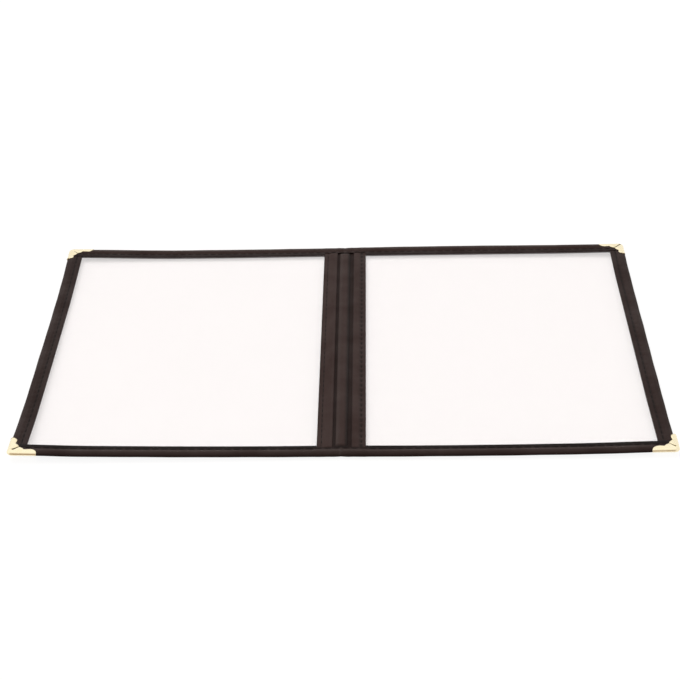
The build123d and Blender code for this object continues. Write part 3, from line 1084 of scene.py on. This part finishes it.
def makeStitchTree():
    # seam lines are cut into whole stitches, and each gets one bowed thread
    inputs = {
        "Geometry": None,
        "Pitch": 0.0065,
        "Length": 0.004,
        "Thread Radius": 0.0002,
        "Sink": 0.0003,
        "Rise": 0.0003,
        "Wander": 0.05,
        "Middle Height": 0.0022,
        "Seed": 1,
        "Material": None,
    }
    tree, start, stop = socketGroup("stitchRow", "GeometryNodeTree", inputs, {"Geometry": "Geometry"})
    lines = newNode(tree, "GeometryNodeMeshToCurve", {"Mesh": start["Geometry"]})
    long = newNode(tree, "GeometryNodeSplineLength")
    whole = newMath(tree, "DIVIDE", long.outputs["Length"], start["Pitch"])
    whole = newMath(tree, "ROUND", whole)
    whole = newMath(tree, "ADD", whole, 1)
    cut = newNode(tree, "GeometryNodeResampleCurve", {"Curve": lines.outputs["Curve"], "Count": whole})
    wires = newNode(tree, "GeometryNodeCurveToMesh", {"Curve": cut.outputs["Curve"]})
    edges = newNode(tree, "GeometryNodeInputMeshEdgeVertices").outputs
    sources = {0: edges["Position 2"], 1: edges["Position 1"]}
    run = newNode(tree, "ShaderNodeVectorMath", sources, operation="SUBTRACT")
    settings = {"data_type": "FLOAT_VECTOR", "domain": "EDGE"}
    sources = {"Name": "run", "Geometry": wires.outputs["Mesh"], "Value": run.outputs["Vector"]}
    keep = newNode(tree, "GeometryNodeStoreNamedAttribute", sources, **settings)
    sources = {"Mesh": keep.outputs["Geometry"]}
    spots = newNode(tree, "GeometryNodeMeshToPoints", sources, mode="EDGES")

    # each stitch lies along its seam and rises away from the middle of the leaf
    stored = newNode(tree, "GeometryNodeInputNamedAttribute", {"Name": "run"}, data_type="FLOAT_VECTOR")
    position = newNode(tree, "GeometryNodeInputPosition").outputs[0]
    height = splitAxes(tree, position)["Z"]
    over = newMath(tree, "SUBTRACT", height, start["Middle Height"])
    over = newMath(tree, "SIGN", over)
    sources = {"Vector": stored.outputs["Attribute"]}
    lay = newNode(tree, "FunctionNodeAlignRotationToVector", sources, axis="X")
    sources = {"Rotation": lay.outputs["Rotation"], "Vector": joinAxes(tree, Z=over)}
    stand = newNode(tree, "FunctionNodeAlignRotationToVector", sources, axis="Z", pivot_axis="X")
    away = newMath(tree, "MULTIPLY", start["Wander"], -1)
    sources = {2: away, 3: start["Wander"], "Seed": start["Seed"]}
    chance = newNode(tree, "FunctionNodeRandomValue", sources, data_type="FLOAT").outputs[1]
    sources = {"Rotation": stand.outputs["Rotation"], "Rotate By": joinAxes(tree, Z=chance)}
    nudge = newNode(tree, "FunctionNodeRotateRotation", sources, rotation_space="LOCAL")
    sewn = newNode(tree, "GeometryNodeInstanceOnPoints", {
        "Points": spots.outputs["Points"],
        "Instance": makeStrand(tree, start),
        "Rotation": nudge.outputs["Rotation"],
    })
    finishTree(tree, start, stop, sewn.outputs["Instances"])
    return tree


def sew(name, seams, tree, number):
    # each seam is a line of points in millimetres
    points, lines = [], []
    for seam in seams:
        first = len(points)
        points.extend((seam * mm).tolist())
        lines.extend((first + i, first + i + 1) for i in range(len(seam) - 1))
    mesh = bpy.data.meshes.new(name)
    mesh.from_pydata(points, lines, [])
    piece = runTree(name, addObject("seamLines", mesh), tree, {
        "Pitch": tape["pitch"] * mm,
        "Length": tape["pitch"] * stitch["share"] * mm,
        "Thread Radius": stitch["radius"] * mm,
        "Sink": stitch["sink"] * mm,
        "Rise": stitch["rise"] * mm,
        "Wander": math.radians(stitch["wander"]),
        "Middle Height": middleZ * mm,
        "Seed": seed + number,
        "Material": twistedThread,
    })
    return piece


def straightSeams(leaf):
    # along the outer edge and along both bands, on both faces
    side = sides[leaf]
    y = np.linspace(-seamStopY, seamStopY, stitch["edgePoints"])
    edge = windowOut + bowed(tapeSeam, y, leaf, "edge")
    seams = [place(side * edge, y, way * (ledgeTop - tape["seamDepth"])) for way in faces.values()]
    for face, way in faces.items():
        seams.append(place(side * hemSeamX[face], y, way * (ledgeTop - band["seamDepth"])))
    return seams


def tapeSeams(leaf, end):
    side, way = sides[leaf], ends[end]
    x = np.linspace(0, seamStopX, stitch["tapePoints"])
    height = alongTape(x)[1] - tape["seamDepth"]
    y = windowY + bowed(tapeSeamY - windowY, x, leaf, end)
    return [place(side * x, way * y, face * height) for face in faces.values()]


stitchTree = makeStitchTree()
for number, leaf in enumerate(sides):
    straight = sew(f"{leaf}_stitches", straightSeams(leaf), stitchTree, number)
    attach(straight, f"{leaf}_cover")
    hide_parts(*(f"{leaf}_{row}_thread" for row in ("edge", "inside_hem", "outside_hem")))
    for end in ends:
        row = sew(f"{leaf}_{end}_stitches", tapeSeams(leaf, end), stitchTree, 10 + number)
        bendOverFold(row, leaf)
        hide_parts(f"{leaf}_{end}_thread", f"spine_{end}_thread")
print("stitches sewn")


# Brass corners

clip = {
    "thickness": 0.4,
    "plan": 4.0,  # radius of the corner in plan
    "rimHeight": 2.12,  # its outer rim is an upright half ellipse of this half height
    "rimRun": 3.3,  # and of this width
    "rimShare": 0.6,  # but never wider than this share of the arm
    # painted shade along the inner edges, darker on the near clips, and over the inner face
    "rimShade": {"bottom": 0.3, "top": 0.1},
    "insideShade": 0.7,
    "lobeWidth": 5.5,
    "notch": (12.2, 5.1),
    "mitre": (8.35, 8.05),
    "whole": (8.2, 8.2),
    "mitreBulge": 0.45,
    "dome": 0.28,
    "press": 0.3,
    "pressReach": 1.3,
    "pressRun": (0.5, 3),  # it starts and is full where an arm is this wide
    "domeRun": (2, 6),
    "thinnest": 0.12,
    "thinBelow": 1.8,  # where an arm is narrower than this, its metal thins out
    "crimp": 0.35,  # the tips of its arms are bent in by this much
    "core": 9,  # this far in from both edges is a place inside the clip
}
# points along the outline of an arm: round its tip, to the notch, to the diagonal and down it,
# and across it: round the rim and over its face
outline = {"tip": 18, "notch": 5, "mitre": 10, "slit": 12, "rim": 10, "face": 12}
# how each clip was pressed on: for each arm its reach, where it is widest and how round its tip is,
# how far the clip stands proud of the edge, how far its long and side arms' outlines slipped along x,
# and where its slit ends and how far it gapes
clipFit = {
    ("front", "bottom"): {
        "arms": ((21.1, 16.2, 1.8), (18.8, 15.0, 2.0)),
        "proud": 0.5,
        "slip": (0, 0),
        "slit": (4.4, 1.3),
    },
    ("front", "top"): {
        "arms": ((20.2, 17.2, 1.3), (16.6, 15.1, 1.1)),
        "proud": 0,
        "slip": (0, 0),
        "slit": (4.2, 0.2),
    },
    ("back", "bottom"): {
        "arms": ((21, 15.3, 1.6), (19.2, 15.2, 2.0)),
        "proud": 1.9,
        "slip": (-1.3, -0.9),
        "slit": (4.2, 0.9),
    },
    ("back", "top"): {
        "arms": ((20.8, 15.8, 1.5), (17.2, 15.3, 1.1)),
        "proud": 0,
        "slip": (0, 0),
        "slit": (2.4, 0.8),
    },
}


def arcBetween(a, b, bulge, count):
    # a circular arc from a to b that bows to the right by bulge
    a, b = np.array(a, float), np.array(b, float)
    along = (b - a) / np.linalg.norm(b - a)
    right = np.array([along[1], -along[0]])
    half = np.linalg.norm(b - a) / 2
    radius = (half**2 + bulge**2) / (2 * bulge)
    swing = math.asin(half / radius)
    angles = np.linspace(-swing, swing, count)
    sideways = radius * np.cos(angles) - (radius - bulge)
    return (a + b) / 2 + np.outer(radius * np.sin(angles), along) + np.outer(sideways, right)


def clipRows(arm, mitre, slipAlong, slipAcross, slipTip, slitEnd, gape):
    # inner and outer ends of each row across one arm, from its tip to the diagonal
    reach, widest, bulge = arm
    lobe, notch = (widest, clip["lobeWidth"]), clip["notch"]
    half = gape / 2 * (mitre[0] > mitre[1])
    slit = np.array([slitEnd, slitEnd])
    inner = np.concatenate([
        arcBetween((reach, clip["thinnest"]), lobe, bulge, outline["tip"]),
        np.linspace(lobe, notch, outline["notch"])[1:],
        arcBetween(notch, mitre, clip["mitreBulge"], outline["mitre"])[1:],
        np.linspace(mitre, slit + (half, -half), outline["slit"])[1:],
        [slit],
    ])
    inner = inner + (slipAlong, slipAcross)
    inner[-1] = slit + slipTip
    inner[:, 1] = np.maximum(inner[:, 1], clip["thinnest"])
    # the outer ends keep to the straight edge, and then share out the rounded corner
    a = inner[:-outline["slit"], 0]
    plan = clip["plan"]
    straight = a[-1] - plan
    walk = np.linspace(0, 1, outline["slit"] + 1)[1:] * (straight + plan * math.pi / 4)
    over = np.clip(walk - straight, 0, None) / plan
    outerA = np.where(walk < straight, a[-1] - walk, plan - plan * np.sin(over))
    outerB = np.where(walk < straight, 0, plan - plan * np.cos(over))
    outer = np.concatenate([np.stack([a, 0 * a], 1), np.stack([outerA, outerB], 1)])
    return inner, outer


def clipHalf(rows):
    # one face of an arm: rows of plan points, their depth below the face, and how thick the metal is
    inner, outer = rows
    length = np.linalg.norm(inner - outer, axis=1)[:, None]
    bend = np.minimum(clip["rimRun"], clip["rimShare"] * length)
    turn = np.radians(np.linspace(0, 90, outline["rim"]))[None, :]
    flat = np.linspace(0, 1, outline["face"])[1:][None, :]
    reach = np.concatenate([bend * (1 - np.cos(turn)), bend + (length - bend) * flat], 1)
    onRim = np.clip(reach / clip["rimRun"], 0, 1)
    depth = clip["rimHeight"] * (1 - np.sqrt(1 - (1 - onRim) ** 2))
    plan = outer[:, None] + (inner - outer)[:, None] * (reach / length)[..., None]
    toRim = length - reach
    pressed = clip["press"] * (1 - step(toRim, 0, clip["pressReach"]))
    depth = depth + pressed * step(length, *clip["pressRun"])
    middle = (reach - bend) / np.maximum(length - bend, 0.01)
    dome = clip["dome"] * np.clip(4 * middle * (1 - middle), 0, 1)
    depth = depth - dome * step(length, *clip["domeRun"])
    thin = np.clip(length / clip["thinBelow"], 0.05, 1) + 0 * depth
    plan[..., 1] += clip["crimp"] * (1 - thin)
    return plan, depth, thin


def clipArm(arm, slit, slipAlong, slipAcross, slipTip):
    # both faces of an arm, joined at the rim; the slit is cut in the upper face alone
    upper, lower = (
        clipHalf(clipRows(arm, clip[mitre], slipAlong, slipAcross, slipTip, *slit))
        for mitre in ("mitre", "whole")
    )
    top = np.maximum(metalTop - clip["dome"] - upper[1], 0.02)
    bottom = np.minimum(clip["dome"] + lower[1] - metalTop, -0.02)
    pairs = ((upper[0], lower[0]), (top, bottom), (upper[2], lower[2]))
    return [np.concatenate([high[:, ::-1], low], axis=1) for high, low in pairs]


def makeClip(leaf, end):
    side, way = sides[leaf], ends[end]
    fit = clipFit[leaf, end]
    slip, sideSlip = fit["slip"]
    diagonal = np.array([(slip + sideSlip) / 2, 0])
    longArm = clipArm(fit["arms"][0], fit["slit"], slip, 0, diagonal)
    sideArm = clipArm(fit["arms"][1], fit["slit"], 0, sideSlip, diagonal[::-1])
    sideArm[0] = sideArm[0][..., ::-1]
    plan, v, thin = (np.concatenate([a, b[-2::-1]], axis=0) for a, b in zip(longArm, sideArm))
    x, y = side * (metalX + fit["proud"] - plan[..., 0]), way * (metalY - plan[..., 1])
    outer = np.stack([x, y, v], -1)
    normal = np.cross(np.gradient(outer, axis=0), np.gradient(outer, axis=1))
    normal /= np.maximum(np.linalg.norm(normal, axis=-1, keepdims=True), 1e-9)
    centre = np.array([side * (metalX - clip["core"]), way * (metalY - clip["core"]), 0])
    facing = np.einsum("ijk,ijk->ij", normal, outer - centre).sum()
    inner = outer - np.sign(facing) * clip["thickness"] * thin[..., None] * normal
    # painted shade along the inner edges of both faces, and over the inner face
    rim = np.zeros(v.shape)
    rim[:, :2] = rim[:, -2:] = clip["rimShade"][end]
    outer, inner = (place(g[..., 0], g[..., 1], g[..., 2]) for g in (outer, inner))
    name = f"{leaf}_{end}_clip"
    marks = {"seam": rim}
    piece = thickSheet(name, outer, inner, stampedBrass, marks, sharp=50, within=clip["insideShade"])
    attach(piece, f"{leaf}_cover")
    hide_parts(f"{leaf}_{end}_corner")


for leaf in sides:
    for end in ends:
        makeClip(leaf, end)
print("corners stamped")


# Stage, light and camera

stageSet = {
    "floor": 3.0,
    "floorTone": (0.62, 0.15),  # under the cover, and around it, where the shadows are fainter
    "floorGlow": (0.512, 0.9),
    "floorChange": (-0.009, -0.0055),  # where one becomes the other, from the cover's edge
    "floorTint": (1, 0.982, 0.975, 1),
    "ambient": (0.74, 0.34),  # from the bright side, and from the dark side
    "ambientChange": (-0.3, 0.8),
    "ambientTint": (1, 0.94, 0.915, 1),
    "roomTint": (1, 0.99, 0.97, 1),
    "darkSide": (-0.28, -0.865, 0.42),  # where the room is dark in reflections
    "darkColor": (0.42, 0.31, 0.23, 1),
    "darkSpread": (0.62, 0.93),  # cosines of its outer and inner rims
    "keyStrength": 1.75,
    "keySpread": 38,  # degrees across, seen from the cover
    "keyHeight": 42,  # degrees above the table
    "keyTurn": 26,  # degrees to the left of straight behind
    "sheenPower": 5,
    "sheenSize": 4,
    "sheenPlace": (-0.7, 0.1, 1.4),
}


def seenRays(tree):
    # 1 for rays from the camera, from gloss and through glass
    path = newNode(tree, "ShaderNodeLightPath").outputs
    seen = newMath(tree, "MAXIMUM", path["Is Camera Ray"], path["Is Glossy Ray"])
    return newMath(tree, "MAXIMUM", seen, path["Is Transmission Ray"])


def makeFloor():
    half = stageSet["floor"] / 2
    corners = [(-half, -half, 0), (half, -half, 0), (half, half, 0), (-half, half, 0)]
    mesh = bpy.data.meshes.new("floor")
    mesh.from_pydata(corners, [], [(0, 1, 2, 3)])
    material = bpy.data.materials.new("paleFloor")
    material.use_nodes = True
    tree = material.node_tree
    tree.nodes.clear()
    parts = splitAxes(tree, objectPoint(tree))
    beyond = []
    for axis, edge in (("X", edgeX), ("Y", edgeY)):
        away = newMath(tree, "ABSOLUTE", parts[axis])
        beyond.append(newMath(tree, "SUBTRACT", away, edge * mm))
    outside = newMath(tree, "MAXIMUM", *beyond)
    tone = spread(tree, outside, *stageSet["floorTone"], stageSet["floorChange"])
    light = spread(tree, outside, *stageSet["floorGlow"], stageSet["floorChange"])
    tint = mixColor(tree, tone, (0, 0, 0, 1), stageSet["floorTint"])
    matte = newNode(tree, "ShaderNodeBsdfDiffuse", {"Color": tint})
    strength = newMath(tree, "MULTIPLY", seenRays(tree), light)
    glow = newNode(tree, "ShaderNodeEmission", {"Strength": strength})
    both = newNode(tree, "ShaderNodeAddShader", {0: matte.outputs[0], 1: glow.outputs[0]})
    newNode(tree, "ShaderNodeOutputMaterial", {"Surface": both.outputs[0]})
    mesh.materials.append(material)
    floor = addObject("floor", mesh)


def makeWorld():
    # white where it is seen, one dark side in reflections, and soft light on everything
    world = bpy.data.worlds.new("studio")
    world.use_nodes = True
    scene.world = world
    tree = world.node_tree
    tree.nodes.clear()
    toward = newNode(tree, "ShaderNodeTexCoord").outputs["Generated"]
    sources = {0: toward, 1: stageSet["darkSide"]}
    facing = newNode(tree, "ShaderNodeVectorMath", sources, operation="DOT_PRODUCT")
    facing = facing.outputs["Value"]
    dark = spread(tree, facing, 0, 1, stageSet["darkSpread"])
    seenRoom = mixColor(tree, dark, stageSet["roomTint"], stageSet["darkColor"])
    level = spread(tree, facing, *stageSet["ambient"], stageSet["ambientChange"])
    sources = {"Color": stageSet["ambientTint"], "Strength": level}
    soft = newNode(tree, "ShaderNodeBackground", sources)
    white = newNode(tree, "ShaderNodeBackground", {"Color": (1, 1, 1, 1)})
    room = newNode(tree, "ShaderNodeBackground", {"Color": seenRoom})
    path = newNode(tree, "ShaderNodeLightPath").outputs
    sources = {"Fac": path["Is Glossy Ray"], 1: soft.outputs[0], 2: room.outputs[0]}
    glossy = newNode(tree, "ShaderNodeMixShader", sources)
    seen = newMath(tree, "MAXIMUM", path["Is Camera Ray"], path["Is Transmission Ray"])
    sources = {"Fac": seen, 1: glossy.outputs[0], 2: white.outputs[0]}
    pick = newNode(tree, "ShaderNodeMixShader", sources)
    newNode(tree, "ShaderNodeOutputWorld", {"Surface": pick.outputs[0]})


def makeLamps():
    # an even key from behind and the left, and a weak lamp overhead for the sheen
    lamp = bpy.data.lights.new("key", "SUN")
    lamp.energy = stageSet["keyStrength"]
    lamp.angle = math.radians(stageSet["keySpread"])
    key = addObject("key", lamp)
    up, turn = math.radians(stageSet["keyHeight"]), math.radians(stageSet["keyTurn"])
    toward = Vector((math.sin(turn) * math.cos(up), -math.cos(turn) * math.cos(up), -math.sin(up)))
    key.rotation_euler = toward.to_track_quat("-Z", "Y").to_euler()
    key.visible_glossy = False
    lamp = bpy.data.lights.new("sheen", "AREA")
    lamp.shape = "DISK"
    lamp.size = stageSet["sheenSize"]
    lamp.energy = stageSet["sheenPower"]
    sheen = addObject("sheen", lamp)
    sheen.location = stageSet["sheenPlace"]
    sheen.rotation_euler = (-Vector(stageSet["sheenPlace"])).to_track_quat("-Z", "Y").to_euler()


view = {
    "focal": 1661.34,  # in pixels of the frame
    "frame": 680,
    "sensor": 36,
    "range": (0.05, 10),
    "pitch": 0.5657,
    "yaw": 0.0249,
    "roll": -0.0226,
    "place": (24.588, -1091.57, 697.66),
}


def makeCamera():
    data = bpy.data.cameras.new("camera")
    data.sensor_width = view["sensor"]
    data.lens = view["focal"] / view["frame"] * data.sensor_width
    data.clip_start, data.clip_end = view["range"]
    camera = addObject("camera", data)
    turn = Matrix.Rotation(view["yaw"], 3, "Z")
    forward = turn @ Vector((0, math.cos(view["pitch"]), -math.sin(view["pitch"])))
    up = turn @ Vector((0, math.sin(view["pitch"]), math.cos(view["pitch"])))
    right = turn @ Vector((1, 0, 0))
    tilt = view["roll"]
    rightward = math.cos(tilt) * right + math.sin(tilt) * up
    upward = math.cos(tilt) * up - math.sin(tilt) * right
    matrix = Matrix((rightward, upward, -forward)).transposed().to_4x4()
    matrix.translation = Vector(view["place"]) * mm
    camera.matrix_world = matrix
    scene.camera = camera


makeFloor()
makeWorld()
makeLamps()
makeCamera()
scene.view_settings.view_transform = "Standard"
scene.cycles.transparent_max_bounces = 32  # a closed cover has four films, one over the other
print("stage set")
